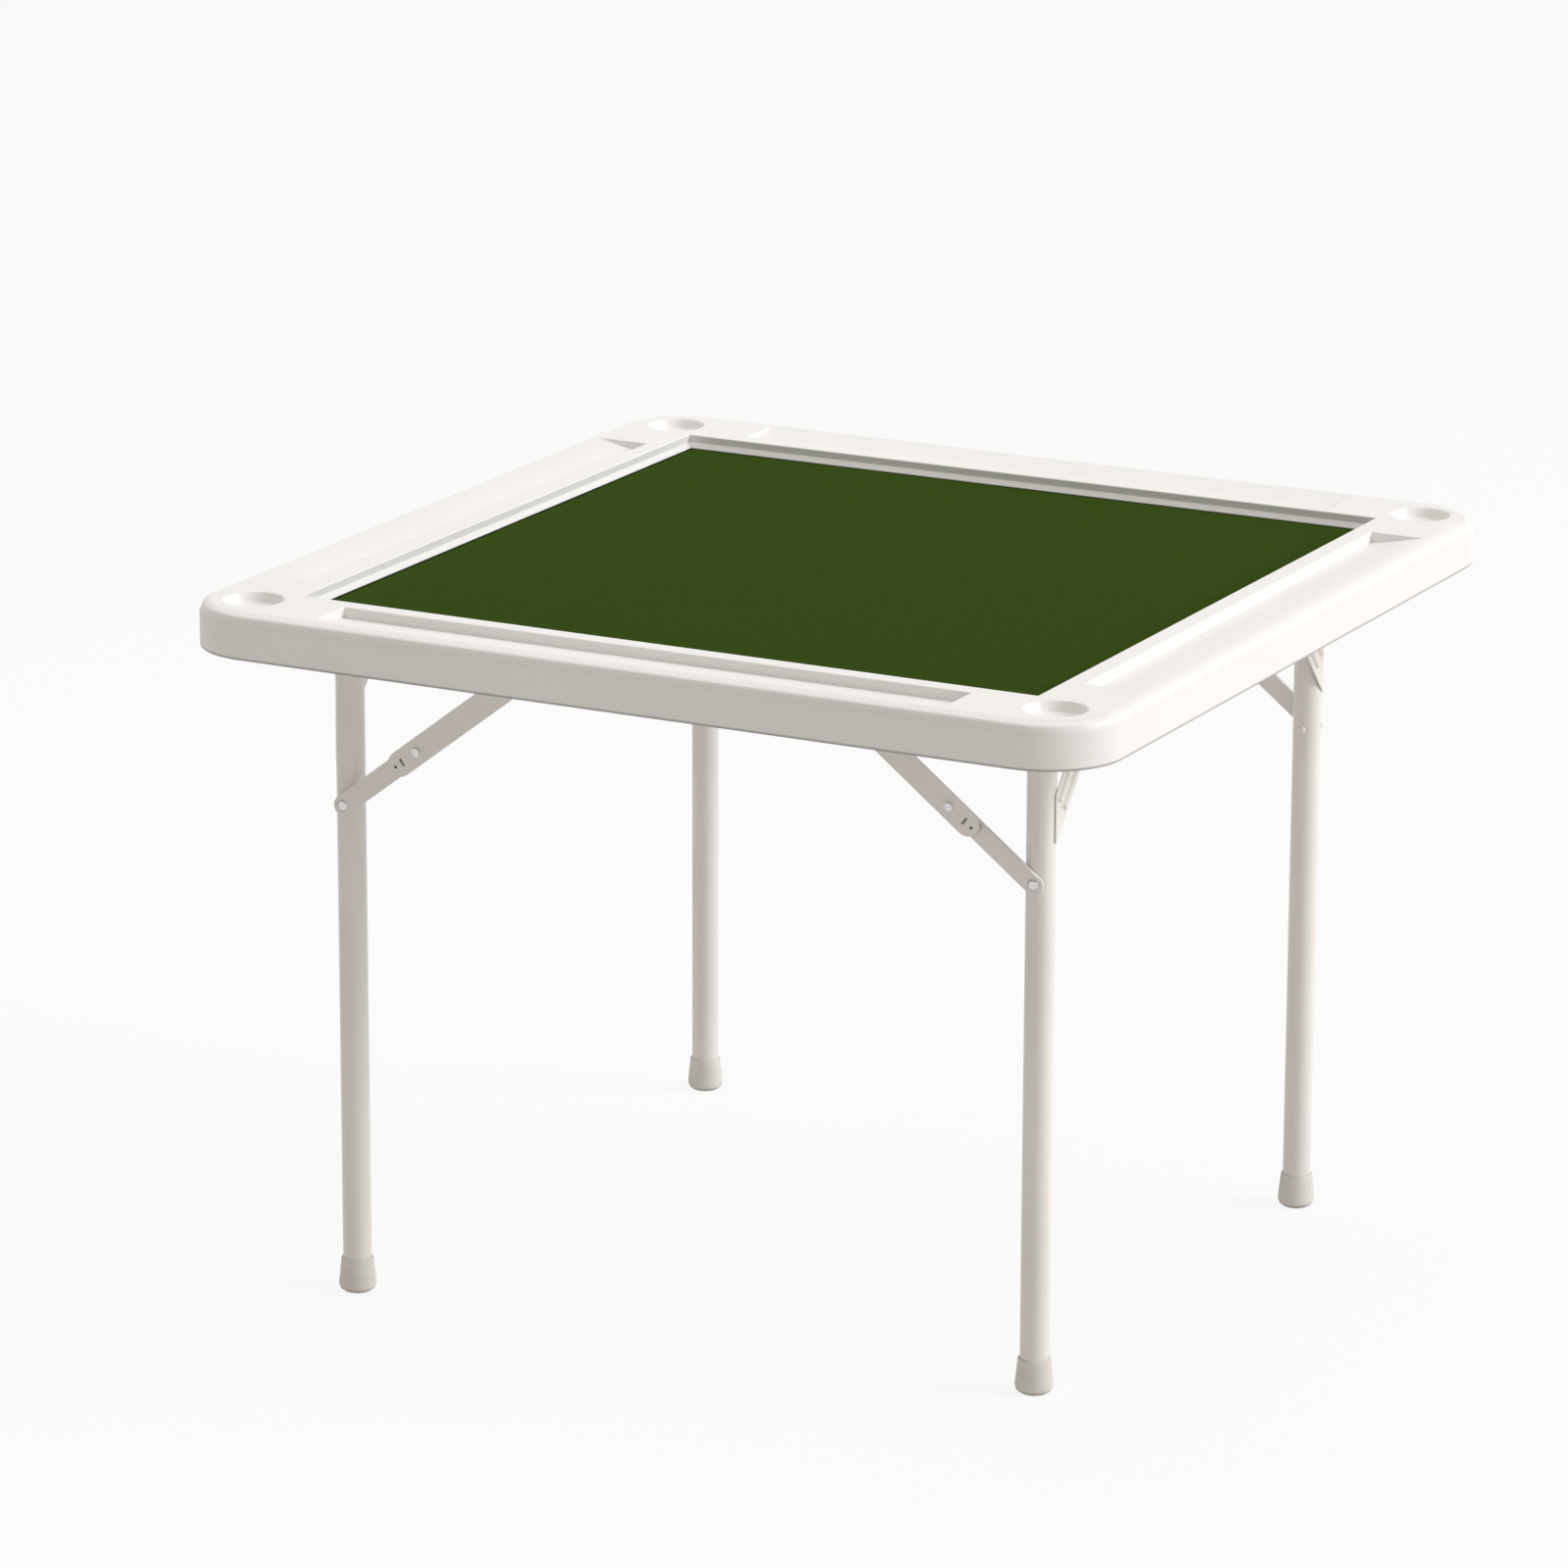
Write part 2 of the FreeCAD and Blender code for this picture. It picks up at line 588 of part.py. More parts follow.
def leg_frame(name, side, leg_y, hinge_z, ends):
    """The pieces of one leg frame with its stays, bearings and clips, by node name."""
    pieces = {"crossbar_" + name: mirrored(crossbar(leg_y, hinge_z), side, 1)}
    corner_pieces = {
        "leg": leg(leg_y, hinge_z),
        "stay_lower": stay_lower(leg_y, hinge_z),
        "stay_upper": stay_upper(leg_y, hinge_z),
        "leg_clip": leg_clip(leg_y, hinge_z),
    }
    paired_pieces = {
        "feet": foot(leg_y),
        "gussets": gusset(leg_y, hinge_z),
        "leg_studs": leg_stud(leg_y, hinge_z),
        "stay_pins": stay_pin(leg_y, hinge_z),
        "stay_brackets": stay_bracket(leg_y, hinge_z),
        "end_sockets": end_socket(leg_y, hinge_z),
    }
    for corner, end in ends.items():
        for piece, shape in corner_pieces.items():
            pieces[piece + "_" + corner] = mirrored(shape, side, end)
    for piece, shape in paired_pieces.items():
        pair = [mirrored(shape, side, end) for end in ends.values()]
        pieces[piece + "_" + name] = Part.makeCompound(pair)
    return pieces


def build():
    saddles = [mirrored(centre_saddle(frame["hinge_z"]), frame["side"], 1) for frame in FRAMES.values()]
    nodes = {
        "table_top": table_top(),
        "felt_mat": felt_mat(),
        "underside_panel": underside_panel(),
        "centre_saddles": Part.makeCompound(saddles),
    }
    for name, frame in FRAMES.items():
        nodes.update(leg_frame(name, **frame))
    return nodes


os.makedirs("parts", exist_ok=True)
for node, shape in build().items():
    shape.exportStep("parts/" + node + ".step")
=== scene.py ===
"""Looks of the folding mahjong table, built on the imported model. Metres, +Z up, floor at z = 0."""
import json
from math import cos, pi, radians, sin

import bmesh
import bpy
from mathutils import Matrix, Vector, noise


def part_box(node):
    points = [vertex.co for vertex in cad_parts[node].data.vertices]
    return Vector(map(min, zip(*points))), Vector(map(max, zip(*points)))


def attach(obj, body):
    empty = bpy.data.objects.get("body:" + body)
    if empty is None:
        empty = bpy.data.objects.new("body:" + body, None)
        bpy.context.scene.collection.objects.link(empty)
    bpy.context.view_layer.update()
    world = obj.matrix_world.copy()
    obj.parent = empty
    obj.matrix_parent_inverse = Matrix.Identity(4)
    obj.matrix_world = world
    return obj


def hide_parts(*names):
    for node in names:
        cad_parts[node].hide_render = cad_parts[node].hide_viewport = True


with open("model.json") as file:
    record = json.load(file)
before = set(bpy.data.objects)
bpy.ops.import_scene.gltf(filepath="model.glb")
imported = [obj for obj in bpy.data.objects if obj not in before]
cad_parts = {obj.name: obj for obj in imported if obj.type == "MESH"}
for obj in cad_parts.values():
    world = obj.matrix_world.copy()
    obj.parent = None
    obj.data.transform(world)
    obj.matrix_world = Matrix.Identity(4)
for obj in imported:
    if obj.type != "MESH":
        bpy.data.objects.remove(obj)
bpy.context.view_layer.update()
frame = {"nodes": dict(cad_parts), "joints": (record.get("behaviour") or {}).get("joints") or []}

# Camera
CAMERA_AZIMUTH = radians(27.53)
CAMERA_ELEVATION = radians(15.70)
CAMERA_ROLL = radians(0.19)
CAMERA_AT = Vector((3.123, -6.132, 2.405))
CAMERA_REACH = 100.0
SENSOR_W = 0.036
LENS = 0.1671
MM_PER_M = 1000

# Light and floor
WORLD_LIGHT = 0.448
WORLD_COLOR = (1.0, 0.945, 0.875)
KEY_POWER = 1460.0
KEY_SIZE = 7.0
KEY_AT = Vector((12.2, 4.4, 7.7))
TOP_POWER = 27.0
TOP_SIZE = 2.6
TOP_AT = Vector((-0.8, 0.25, 3.4))
LIGHT_TARGET = Vector((0, 0, 0.5))
FLOOR_SIZE = 40.0
FLOOR_COLOR = (0.80, 0.79, 0.775)
FLOOR_ROUGHNESS = 0.9
FLOOR_SPECULAR = 0.1
FLOOR_GLOW = 0.88

# Sizes shared with the frame
TUBE_R = 0.014
SOCKET_L = 0.012
FLANGE_T = 0.0035
BRACKET_T = 0.0025
CLIP_WALL = 0.0025
FLANGE_SCREW_REACH = 0.0258
BRACKET_SCREW_REACH = 0.014
BRACKET_SCREW_INSET = 0.0085
LOWER_IN = 0.0143
LOWER_OUT = 0.0165
UPPER_IN = 0.0188
UPPER_OUT = 0.0210
EAR_OUT = 0.0238
RIVET_HEAD_H = 0.0020
PIN_HEAD_H = 0.00155
FELT_GAP = 0.0010

# Rivets
MIDDLE_REACH = 0.10721
LOCK_REACH = 0.0290
LOCK_R = 0.0015
SHANK_R = 0.0030
COLLAR_R = 0.0056
COLLAR_T = 0.00035
RIVET_R = 0.0045
STUD_DOME_H = 0.0017
MIDDLE_DOME_H = 0.0019
PIN_DOME_H = 0.0015
TAIL_R = 0.0044
TAIL_H = 0.0030
TAIL_SINK = 0.0010
FLUSH_R = 0.0042
FLUSH_H = 0.00012
DOME_RIM_SHARE = 0.22
DOME_FOOT_SHARE = 0.94

# Screws: the cross in shares of the head's radius and height
SCREW_R = 0.0038
SCREW_H = 0.0021
CROSS_ARM_SHARE = 0.55
CROSS_HALF_W_SHARE = 0.13
CROSS_FOOT_SHARE = 0.86
CROSS_TOP_SHARE = 1.04

# Welds: the line's offset in weld radii, its least drop in tube radii
WELD_R = 0.0017
WELD_OFFSET_SHARE = 0.25
WELD_DROP_SHARE = 0.42
WELD_SWELL = 0.16
WELD_SWELL_SCALE = 700.0

# Felt and the bead that holds its edge
FELT_STEPS = 120
FELT_EDGE_W = 0.0075
FELT_EDGE_STEP_SHARE = 0.35
FELT_EDGE_DROP = 0.0010
FELT_WAVE = 0.00022
FELT_WAVE_SCALE = 9.0
FELT_WAVE_LAYER = 0.5
FELT_WAVE_FADE = 0.02
BEAD_W = 0.0032
BEAD_LAND = 0.0006
BEAD_H = 0.0050
BEAD_LIP = 0.0003

# Painted shade on the lower edges of the skirt and the feet: the colour darkens towards the bottom
SKIRT_PAINTED_SHADE_H = 0.0034
SKIRT_PAINTED_SHADE = (0.16, 0.158, 0.15)
FOOT_PAINTED_SHADE_H = 0.0042
FOOT_PAINTED_SHADE = (0.17, 0.155, 0.14)

# Eased edges and smooth rounds of the CAD nodes
WELD_DISTANCE = 1e-6
FLAT_ANGLE = radians(0.5)
EASE_SEGMENTS = 3
EASE_ANGLE = radians(40)
LARGE_FACE_WEIGHT = 100

CORNERS = {"left": {"fl": -1, "bl": 1}, "right": {"fr": -1, "br": 1}}
JOINTS = {joint["name"]: joint for joint in frame["joints"]}


def pivot(joint):
    return Vector(JOINTS[joint]["pos_m"])


# Materials

def shader(name, color, roughness, **sockets):
    material = bpy.data.materials.new(name)
    material.use_nodes = True
    surface = material.node_tree.nodes["Principled BSDF"]
    surface.inputs["Base Color"].default_value = (*color, 1)
    surface.inputs["Roughness"].default_value = roughness
    for socket, value in sockets.items():
        surface.inputs[socket.replace("_", " ")].default_value = value
    return material


def add_noise(material, scale, detail=3.0, stretch=(1, 1, 1)):
    """A noise in the object's own metres."""
    nodes = material.node_tree.nodes
    links = material.node_tree.links
    place = nodes.new("ShaderNodeTexCoord")
    mapping = nodes.new("ShaderNodeMapping")
    mapping.inputs["Scale"].default_value = stretch
    texture = nodes.new("ShaderNodeTexNoise")
    texture.inputs["Scale"].default_value = scale
    texture.inputs["Detail"].default_value = detail
    links.new(place.outputs["Object"], mapping.inputs["Vector"])
    links.new(mapping.outputs["Vector"], texture.inputs["Vector"])
    return texture.outputs["Fac"]


def vary_color(material, fac, low, high, start=0.35, end=0.65):
    nodes = material.node_tree.nodes
    links = material.node_tree.links
    ramp = nodes.new("ShaderNodeValToRGB")
    ramp.color_ramp.elements[0].position = start
    ramp.color_ramp.elements[0].color = (*low, 1)
    ramp.color_ramp.elements[1].position = end
    ramp.color_ramp.elements[1].color = (*high, 1)
    links.new(fac, ramp.inputs["Fac"])
    links.new(ramp.outputs["Color"], nodes["Principled BSDF"].inputs["Base Color"])


def vary_roughness(material, fac, low, high, start=0.3, end=0.7):
    nodes = material.node_tree.nodes
    links = material.node_tree.links
    spread = nodes.new("ShaderNodeMapRange")
    spread.inputs["From Min"].default_value = start
    spread.inputs["From Max"].default_value = end
    spread.inputs["To Min"].default_value = low
    spread.inputs["To Max"].default_value = high
    links.new(fac, spread.inputs["Value"])
    links.new(spread.outputs["Result"], nodes["Principled BSDF"].inputs["Roughness"])


def add_bump(material, fac, height, strength):
    """Stack a bump on those already there."""
    nodes = material.node_tree.nodes
    links = material.node_tree.links
    normal = nodes["Principled BSDF"].inputs["Normal"]
    bump = nodes.new("ShaderNodeBump")
    bump.inputs["Strength"].default_value = strength
    bump.inputs["Distance"].default_value = height
    if normal.is_linked:
        links.new(normal.links[0].from_socket, bump.inputs["Normal"])
    links.new(fac, bump.inputs["Height"])
    links.new(bump.outputs["Normal"], normal)


def shade_lower_edge(material, edge_z, height, shade):
    """Paint shade on a piece near its lower edge: the base colour darkens to the shade colour towards the
    bottom, standing in for the shadow where the piece turns in.
    """
    nodes = material.node_tree.nodes
    links = material.node_tree.links
    place = nodes.new("ShaderNodeTexCoord")
    split = nodes.new("ShaderNodeSeparateXYZ")
    fade = nodes.new("ShaderNodeMapRange")
    fade.inputs["From Min"].default_value = edge_z
    fade.inputs["From Max"].default_value = edge_z + height
    mix = nodes.new("ShaderNodeMixRGB")
    mix.inputs["Color1"].default_value = (*shade, 1)
    base = nodes["Principled BSDF"].inputs["Base Color"]
    links.new(base.links[0].from_socket, mix.inputs["Color2"])
    links.new(place.outputs["Object"], split.inputs["Vector"])
    links.new(split.outputs["Z"], fade.inputs["Value"])
    links.new(fade.outputs["Result"], mix.inputs["Fac"])
    links.new(mix.outputs["Color"], base)


def finish(name, colors, color_scale, roughnesses, roughness_scale, bumps, **sockets):
    """A hard finish with uneven colour, gloss and grain.

    Colours and roughnesses are low, middle and high. A bump is scale, detail, height and strength.
    """
    low_color, color, high_color = colors
    low_roughness, roughness, high_roughness = roughnesses
    material = shader(name, color, roughness, **sockets)
    vary_color(material, add_noise(material, color_scale), low_color, high_color)
    vary_roughness(material, add_noise(material, roughness_scale), low_roughness, high_roughness)
    for scale, detail, height, strength in bumps:
        add_bump(material, add_noise(material, scale, detail), height, strength)
    return material


def moulded_plastic(name):
    return finish(
        name,
        colors=((0.852, 0.845, 0.828), (0.867, 0.86, 0.845), (0.882, 0.876, 0.862)),
        color_scale=3.0,
        roughnesses=(0.36, 0.42, 0.48),
        roughness_scale=26.0,
        bumps=((14.0, 2.0, 0.0004, 0.25), (900.0, 3.0, 0.00006, 0.5)),
        IOR=1.5,
    )


def felt(name, low, high):
    material = shader(
        name,
        high,
        roughness=0.95,
        Sheen_Weight=0.006,
        Sheen_Roughness=0.5,
        Specular_IOR_Level=0.01,
    )
    tufts = add_noise(material, scale=620.0, detail=6.0)
    vary_color(material, tufts, low, high, start=0.3, end=0.7)
    fine_nap = add_noise(material, scale=1500.0, detail=4.0, stretch=(1, 0.35, 1))
    add_bump(material, fine_nap, height=0.0005, strength=0.6)
    coarse_nap = add_noise(material, scale=420.0, detail=5.0, stretch=(0.4, 1, 1))
    add_bump(material, coarse_nap, height=0.0006, strength=0.5)
    return material


PLASTIC = moulded_plastic("moulded_plastic")
PLASTIC_PAINTED_SHADE = moulded_plastic("plastic_painted_shade")
# Painted shade: the table top's colour darkens within a few millimetres of the skirt's lower edge.
shade_lower_edge(PLASTIC_PAINTED_SHADE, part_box("table_top")[0].z, SKIRT_PAINTED_SHADE_H, SKIRT_PAINTED_SHADE)
FOOT = finish(
    "foot_plastic",
    colors=((0.70, 0.676, 0.642), (0.73, 0.706, 0.672), (0.76, 0.736, 0.702)),
    color_scale=40.0,
    roughnesses=(0.4, 0.45, 0.55),
    roughness_scale=120.0,
    bumps=((1300.0, 2.0, 0.00005, 0.6),),
    IOR=1.5,
)
# Painted shade: the feet darken within a few millimetres of the floor, standing in for the shade at their
# base.
shade_lower_edge(FOOT, 0, FOOT_PAINTED_SHADE_H, FOOT_PAINTED_SHADE)
COAT = finish(
    "powder_coat",
    colors=((0.798, 0.768, 0.744), (0.816, 0.786, 0.763), (0.834, 0.804, 0.782)),
    color_scale=9.0,
    roughnesses=(0.3, 0.34, 0.42),
    roughness_scale=70.0,
    bumps=((520.0, 3.0, 0.00009, 0.55),),
    Coat_Weight=0.25,
    Coat_Roughness=0.2,
)
STEEL = finish(
    "bright_steel",
    colors=((0.58, 0.57, 0.56), (0.66, 0.65, 0.64), (0.72, 0.71, 0.70)),
    color_scale=300.0,
    roughnesses=(0.18, 0.22, 0.34),
    roughness_scale=800.0,
    bumps=((2400.0, 2.0, 0.00003, 0.4),),
    Metallic=1.0,
)
# Dark plastic of the centre saddles; the same dark also paints shade on the leg clips and the lock holes.
DARK_PLASTIC_AND_PAINTED_SHADE = finish(
    "dark_plastic",
    colors=((0.024, 0.024, 0.026), (0.03, 0.03, 0.032), (0.042, 0.041, 0.040)),
    color_scale=60.0,
    roughnesses=(0.42, 0.5, 0.6),
    roughness_scale=200.0,
    bumps=((1100.0, 2.0, 0.00008, 0.6),),
)
FELT = felt("felt", (0.0262, 0.0530, 0.0045), (0.0405, 0.0750, 0.0075))
# Painted shade: a much darker felt for the band along the field's wall.
FELT_PAINTED_SHADE = felt("felt_painted_shade", (0.004, 0.009, 0.001), (0.009, 0.018, 0.003))

# Finish and width of the eased edges, by the start of the node's name
NODE_LOOKS = {
    "table_top": (PLASTIC_PAINTED_SHADE, 0.0016),
    "underside_panel": (PLASTIC, 0.0008),
    "end_sockets": (PLASTIC, 0.0008),
    "feet": (FOOT, 0.0007),
    "crossbar": (COAT, 0.0003),
    # Painted shade: the leg clips take the dark finish to stand for the shadowed gap where they hold the
    # leg.
    "leg_clip": (DARK_PLASTIC_AND_PAINTED_SHADE, 0.0006),
    "leg": (COAT, 0.0003),
    "gussets": (COAT, 0.0005),
    "stay_lower": (COAT, 0.0005),
    "stay_upper": (COAT, 0.0005),
    "stay_brackets": (COAT, 0.0005),
    "stay_pins": (STEEL, 0.0003),
    "centre_saddles": (DARK_PLASTIC_AND_PAINTED_SHADE, 0.0008),
}
REPLACED_NODES = ("felt_mat", "leg_studs_left", "leg_studs_right")


# CAD nodes

def node_look(name):
    longest = max((key for key in NODE_LOOKS if name.startswith(key)), key=len)
    return NODE_LOOKS[longest]


def dress_node(name, node):
    material, ease = node_look(name)
    mesh = node.data
    mesh.materials.clear()
    mesh.materials.append(material)
    mesh.shade_smooth()
    if "custom_normal" in mesh.attributes:
        mesh.attributes.remove(mesh.attributes["custom_normal"])
    weld = node.modifiers.new("weld", "WELD")
    weld.merge_threshold = WELD_DISTANCE
    flat = node.modifiers.new("flat_faces", "DECIMATE")
    flat.decimate_type = "DISSOLVE"
    flat.angle_limit = FLAT_ANGLE
    bevel = node.modifiers.new("eased_edges", "BEVEL")
    bevel.width = ease
    bevel.segments = EASE_SEGMENTS
    bevel.limit_method = "ANGLE"
    bevel.angle_limit = EASE_ANGLE
    normals = node.modifiers.new("flat_shading", "WEIGHTED_NORMAL")
    normals.weight = LARGE_FACE_WEIGHT


for node_name, node_object in frame["nodes"].items():
    if node_name not in REPLACED_NODES:
        dress_node(node_name, node_object)


# Helpers for new pieces

def mesh_piece(name, build, material, body, place=None):
    """A mesh made by build in its own frame, put in place and ridden on a body."""
    work = bmesh.new()
    build(work)
    bmesh.ops.recalc_face_normals(work, faces=work.faces)
    mesh = bpy.data.meshes.new(name)
    work.to_mesh(mesh)
    work.free()
    mesh.shade_smooth()
    piece = bpy.data.objects.new(name, mesh)
    bpy.context.scene.collection.objects.link(piece)
    if place is not None:
        piece.matrix_world = place
    mesh.materials.append(material)
    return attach(piece, body)


def pointing(at, direction):
    """Put local +Z along direction at a point."""
    return Matrix.Translation(at) @ direction.to_track_quat("Z", "Y").to_matrix().to_4x4()


def full_turn(steps):
    return [2 * pi * step / steps for step in range(steps)]


def join_rings(work, low, high):
    """Close the band between two rings with the same count of points."""
    count = len(low)
    for step in range(count):
        after = (step + 1) % count
        work.faces.new((low[step], low[after], high[after], high[step]))


def add_lathe(work, profile, steps=40):
    """Turn (radius, height) points about local Z. A zero radius closes the shape."""
    rings = []
    for radius, height in profile:
        if radius == 0:
            rings.append([work.verts.new((0, 0, height))])
        else:
            turns = full_turn(steps)
            rings.append([work.verts.new((radius * cos(t), radius * sin(t), height)) for t in turns])
    for low, high in zip(rings, rings[1:]):
        for step in range(steps):
            after = (step + 1) % steps
            corners = [
                low[step % len(low)],
                low[after % len(low)],
                high[after % len(high)],
                high[step % len(high)],
            ]
            work.faces.new(list(dict.fromkeys(corners)))


def dome_cap(radius, height, steps=7):
    """Points from the top of a dome's upright rim to its crown."""
    rim = height * DOME_RIM_SHARE
    cap = []
    for step in range(steps):
        turn = 0.5 * pi * step / steps
        cap.append((radius * cos(turn), rim + (height - rim) * sin(turn)))
    cap.append((0, height))
    return cap


def dome_profile(radius, height):
    return [(0, 0), (radius * DOME_FOOT_SHARE, 0)] + dome_cap(radius, height)


def rivet_dome(name, at, direction, radius, height, body, material=STEEL):
    def add_dome(work):
        add_lathe(work, dome_profile(radius, height))

    piece = mesh_piece(name, add_dome, material, body, pointing(at, direction))


def add_screw(work):
    """A pan head with a cross on its crown."""
    add_lathe(work, dome_profile(SCREW_R, SCREW_H))
    arm = SCREW_R * CROSS_ARM_SHARE
    half = SCREW_R * CROSS_HALF_W_SHARE
    top = SCREW_H * CROSS_TOP_SHARE
    foot = SCREW_H * CROSS_FOOT_SHARE
    for long_x, long_y in ((arm, half), (half, arm)):
        outline = ((-long_x, -long_y), (long_x, -long_y), (long_x, long_y), (-long_x, long_y))
        low = [work.verts.new((x, y, foot)) for x, y in outline]
        high = [work.verts.new((x, y, top)) for x, y in outline]
        join_rings(work, low, high)
        work.faces.new(high)
        work.faces.new(low[::-1])


def screw(name, at):
    piece = mesh_piece(name, add_screw, STEEL, "top", pointing(at, Vector((0, 0, -1))))


def weld_path(steps=72):
    """The saddle line where a leg tube meets its crossbar, about the crossing of their axes."""
    reach = TUBE_R + WELD_R * WELD_OFFSET_SHARE
    points = []
    for turn in full_turn(steps):
        drop = max(TUBE_R * abs(sin(turn)), TUBE_R * WELD_DROP_SHARE)
        points.append(Vector((reach * cos(turn), reach * sin(turn), -drop)))
    return points


def add_weld(work, steps=10):
    """A closed round seam with the slow swell of a hand weld."""
    points = weld_path()
    rings = []
    count = len(points)
    for index, point in enumerate(points):
        along = (points[(index + 1) % count] - points[index - 1]).normalized()
        aside = along.cross(Vector((0, 0, 1))).normalized()
        upward = aside.cross(along)
        swell = WELD_R * (1 + WELD_SWELL * noise.noise(point * WELD_SWELL_SCALE))
        ring = []
        for turn in full_turn(steps):
            ring.append(work.verts.new(point + aside * (swell * cos(turn)) + upward * (swell * sin(turn))))
        rings.append(ring)
    for index in range(count):
        join_rings(work, rings[index], rings[(index + 1) % count])


# Felt

def add_felt(work):
    """A thin cloth with a soft drop at its edge, resting in the field. The band along its edge takes the
    second slot, a much darker felt: painted shade along the foot of the field's wall.
    """
    low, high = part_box("felt_mat")
    side = high.x - low.x
    edge_steps = [0, FELT_EDGE_W * FELT_EDGE_STEP_SHARE, FELT_EDGE_W]
    edge_rows = len(edge_steps) - 1
    inner = side - 2 * FELT_EDGE_W
    runs = edge_steps + [FELT_EDGE_W + inner * step / FELT_STEPS for step in range(1, FELT_STEPS)]
    runs += [side - run for run in reversed(edge_steps)]
    verts = []
    for run_y in runs:
        row = []
        for run_x in runs:
            inset = min(run_x, run_y, side - run_x, side - run_y)
            x = low.x + run_x
            y = low.y + run_y
            drop = FELT_EDGE_DROP * max(0, 1 - inset / FELT_EDGE_W) ** 2
            swell = noise.noise(Vector((x * FELT_WAVE_SCALE, y * FELT_WAVE_SCALE, FELT_WAVE_LAYER)))
            wave = FELT_WAVE * swell * min(inset / FELT_WAVE_FADE, 1)
            row.append(work.verts.new((x, y, high.z - drop + wave)))
        verts.append(row)
    last = len(runs) - 1
    inner_rows = range(edge_rows, last - edge_rows)
    for i in range(last):
        for j in range(last):
            face = work.faces.new((verts[i][j], verts[i][j + 1], verts[i + 1][j + 1], verts[i + 1][j]))
            # Faces of the edge band take the painted shade slot.
            face.material_index = 0 if i in inner_rows and j in inner_rows else 1


def add_bead(work):
    """A sloped bead round the foot of the field's wall, over the felt's edge."""
    low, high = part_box("felt_mat")
    wall = -FELT_GAP
    profile = [
        (wall, low.z),
        (BEAD_W, low.z),
        (BEAD_W, high.z + BEAD_LIP),
        (wall + BEAD_LAND, high.z + BEAD_H),
        (wall, high.z + BEAD_H),
    ]
    rings = []
    for way_x, way_y in ((-1, -1), (1, -1), (1, 1), (-1, 1)):
        corner_x = high.x if way_x > 0 else low.x
        corner_y = high.y if way_y > 0 else low.y
        ring = []
        for inset, z in profile:
            ring.append(work.verts.new((corner_x - way_x * inset, corner_y - way_y * inset, z)))
        rings.append(ring)
    for index, ring in enumerate(rings):
        join_rings(work, ring, rings[(index + 1) % len(rings)])


felt_bead = mesh_piece("felt_bead", add_bead, PLASTIC, "top")
felt_bead.data.shade_flat()

felt_cloth = mesh_piece("felt_cloth", add_felt, FELT, "top")
# The second slot is the painted shade along the felt's edge.
felt_cloth.data.materials.append(FELT_PAINTED_SHADE)
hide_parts("felt_mat")


# Rivets of the stays

def add_leg_rivet(work):
    """A shank from the leg through the lower link, with a collar and a domed head.

    Local z = 0 is the leg's axis.
    """
    collar = LOWER_OUT + FLUSH_H
    head = collar + COLLAR_T
    profile = [
        (0, TUBE_R),
        (SHANK_R, TUBE_R),
        (SHANK_R, collar),
        (COLLAR_R, collar),
        (COLLAR_R, head),
        (RIVET_R, head),
    ]
    profile += [(radius, head + height) for radius, height in dome_cap(RIVET_R, STUD_DOME_H)]
    add_lathe(work, profile)


def dress_stay(corner, end, side):
    outward = Vector((0, end, 0))
    inward = outward * -1
    leg_body = side + "_frame"
    lower_body = "lower_link_" + corner
    upper_body = "upper_link_" + corner
    stud = pivot("lower_pivot_" + corner)
    bracket = pivot("upper_pivot_" + corner)
    along = (bracket - stud).normalized()
    middle = stud + along * MIDDLE_REACH
    lock = middle - along * LOCK_REACH

    leg_rivet = mesh_piece("leg_rivet_" + corner, add_leg_rivet, STEEL, leg_body, pointing(stud, outward))
    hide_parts("leg_studs_" + side)

    tail_at = stud + inward * (TUBE_R - TAIL_SINK)
    rivet_dome("leg_rivet_tail_" + corner, tail_at, inward, TAIL_R, TAIL_H, leg_body, COAT)
    head_at = middle + outward * (UPPER_OUT + RIVET_HEAD_H)
    rivet_dome("middle_head_" + corner, head_at, outward, RIVET_R, MIDDLE_DOME_H, upper_body)
    flush_at = middle + outward * LOWER_IN
    rivet_dome("middle_flush_" + corner, flush_at, inward, FLUSH_R, FLUSH_H, lower_body)
    # A thin dark disc: painted shade standing in for the dark inside of the lock hole.
    lock_at = lock + outward * UPPER_OUT
    rivet_dome("lock_hole_painted_shade_" + corner, lock_at, outward, LOCK_R, FLUSH_H, upper_body, DARK_PLASTIC_AND_PAINTED_SHADE)
    pin_at = bracket + outward * EAR_OUT
    rivet_dome("pin_head_" + corner, pin_at, outward, RIVET_R, PIN_DOME_H, "top")
    inner_pin_at = bracket + outward * (UPPER_IN - PIN_HEAD_H)
    rivet_dome("pin_inner_head_" + corner, inner_pin_at, inward, RIVET_R, PIN_DOME_H, "top")


for side_name, corner_ends in CORNERS.items():
    for corner_name, corner_end in corner_ends.items():
        dress_stay(corner_name, corner_end, side_name)


# Welds between legs and crossbars

def dress_weld(corner, side):
    hinge = pivot("fold_" + side)
    leg_y = pivot("lower_pivot_" + corner).y
    crossing = Vector((hinge.x, leg_y, hinge.z))
    piece = mesh_piece("weld_" + corner, add_weld, COAT, side + "_frame", Matrix.Translation(crossing))


for side_name, corner_ends in CORNERS.items():
    for corner_name in corner_ends:
        dress_weld(corner_name, side_name)


# Screws under the panel

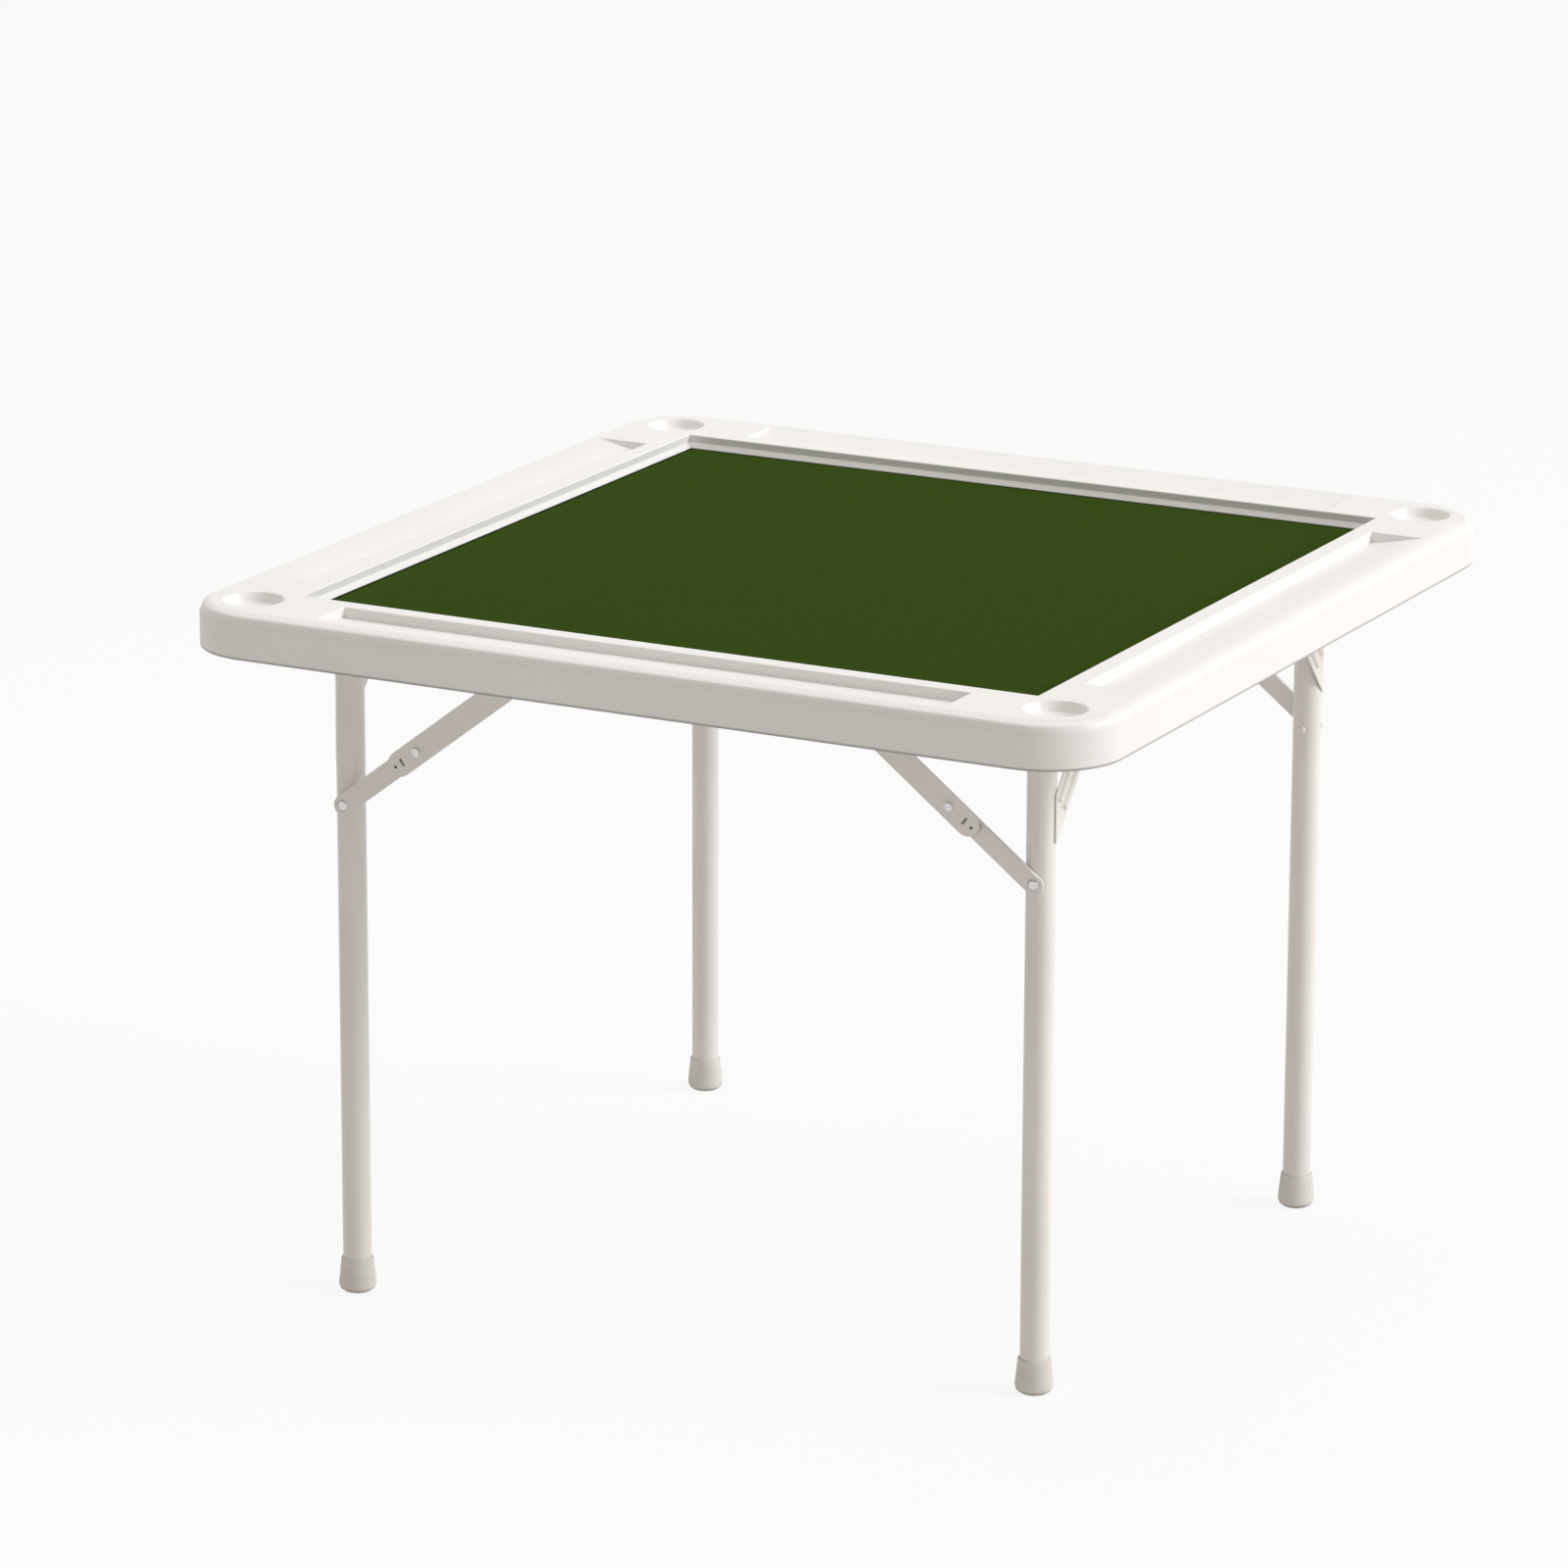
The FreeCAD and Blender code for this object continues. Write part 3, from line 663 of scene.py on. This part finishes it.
def dress_fixings(side):
    socket_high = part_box("end_sockets_" + side)[1]
    bracket_low, bracket_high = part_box("stay_brackets_" + side)
    hinge = pivot("fold_" + side)
    flange_z = socket_high.z - FLANGE_T
    bracket_x = (bracket_low.x + bracket_high.x) / 2
    bracket_z = bracket_high.z - BRACKET_T
    for end, tag in ((-1, "f"), (1, "b")):
        socket_y = end * (socket_high.y - SOCKET_L / 2)
        bracket_y = end * (bracket_high.y - BRACKET_SCREW_INSET)
        for step, way in enumerate((-1, 1)):
            label = side + "_" + tag + str(step)
            socket_x = hinge.x + way * FLANGE_SCREW_REACH
            screw_x = bracket_x + way * BRACKET_SCREW_REACH
            screw("socket_screw_" + label, Vector((socket_x, socket_y, flange_z)))
            screw("bracket_screw_" + label, Vector((screw_x, bracket_y, bracket_z)))
    for step, way in enumerate((-1, 1)):
        saddle_x = hinge.x + way * FLANGE_SCREW_REACH
        screw("saddle_screw_" + side + str(step), Vector((saddle_x, 0, flange_z)))
    for corner in CORNERS[side]:
        clip_low, clip_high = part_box("leg_clip_" + corner)
        middle = (clip_low + clip_high) / 2
        screw("clip_screw_" + corner, Vector((middle.x, middle.y, clip_high.z - CLIP_WALL)))


for side_name in CORNERS:
    dress_fixings(side_name)


# Floor, light and camera

def seen_or_mirrored(tree):
    """One where the camera looks straight or by a reflection, nought for light on the object."""
    path = tree.nodes.new("ShaderNodeLightPath")
    either = tree.nodes.new("ShaderNodeMath")
    either.operation = "MAXIMUM"
    tree.links.new(path.outputs["Is Camera Ray"], either.inputs[0])
    tree.links.new(path.outputs["Is Glossy Ray"], either.inputs[1])
    return either.outputs["Value"]


def add_floor():
    """A pale floor that is clear when seen from below."""
    bpy.ops.mesh.primitive_plane_add(size=FLOOR_SIZE)
    floor = bpy.context.object
    floor.name = "floor"
    material = shader("floor", FLOOR_COLOR, FLOOR_ROUGHNESS, Specular_IOR_Level=FLOOR_SPECULAR)
    nodes = material.node_tree.nodes
    links = material.node_tree.links
    glow = nodes.new("ShaderNodeEmission")
    share = nodes.new("ShaderNodeMath")
    share.operation = "MULTIPLY"
    share.inputs[1].default_value = FLOOR_GLOW
    mix = nodes.new("ShaderNodeMixShader")
    links.new(seen_or_mirrored(material.node_tree), share.inputs[0])
    links.new(share.outputs["Value"], mix.inputs["Fac"])
    links.new(nodes["Principled BSDF"].outputs["BSDF"], mix.inputs[1])
    links.new(glow.outputs["Emission"], mix.inputs[2])
    facing = nodes.new("ShaderNodeNewGeometry")
    clear = nodes.new("ShaderNodeBsdfTransparent")
    either_side = nodes.new("ShaderNodeMixShader")
    links.new(facing.outputs["Backfacing"], either_side.inputs["Fac"])
    links.new(mix.outputs["Shader"], either_side.inputs[1])
    links.new(clear.outputs["BSDF"], either_side.inputs[2])
    links.new(either_side.outputs["Shader"], nodes["Material Output"].inputs["Surface"])
    floor.data.materials.append(material)


def add_world():
    world = bpy.data.worlds.new("studio")
    bpy.context.scene.world = world
    world.use_nodes = True
    nodes = world.node_tree.nodes
    links = world.node_tree.links
    light = nodes["Background"]
    light.inputs["Color"].default_value = (*WORLD_COLOR, 1)
    light.inputs["Strength"].default_value = WORLD_LIGHT
    seen = nodes.new("ShaderNodeBackground")
    seen.inputs["Color"].default_value = (1, 1, 1, 1)
    mix = nodes.new("ShaderNodeMixShader")
    links.new(seen_or_mirrored(world.node_tree), mix.inputs["Fac"])
    links.new(light.outputs["Background"], mix.inputs[1])
    links.new(seen.outputs["Background"], mix.inputs[2])
    links.new(mix.outputs["Shader"], nodes["World Output"].inputs["Surface"])


def add_light(name, at, power, size):
    data = bpy.data.lights.new(name, "AREA")
    data.energy = power
    data.size = size
    lamp = bpy.data.objects.new(name, data)
    lamp.matrix_world = pointing(at, at - LIGHT_TARGET)
    bpy.context.scene.collection.objects.link(lamp)


def add_camera():
    data = bpy.data.cameras.new("camera")
    data.sensor_width = SENSOR_W * MM_PER_M
    data.lens = LENS * MM_PER_M
    data.clip_end = CAMERA_REACH
    camera = bpy.data.objects.new("camera", data)
    back = Vector((
        sin(CAMERA_AZIMUTH) * cos(CAMERA_ELEVATION),
        -cos(CAMERA_AZIMUTH) * cos(CAMERA_ELEVATION),
        sin(CAMERA_ELEVATION),
    ))
    camera.matrix_world = pointing(CAMERA_AT, back) @ Matrix.Rotation(CAMERA_ROLL, 4, "Z")
    bpy.context.scene.collection.objects.link(camera)
    bpy.context.scene.camera = camera


add_floor()
add_world()
add_light("key", KEY_AT, KEY_POWER, KEY_SIZE)
add_light("overhead", TOP_AT, TOP_POWER, TOP_SIZE)
add_camera()
bpy.context.scene.view_settings.view_transform = "Standard"
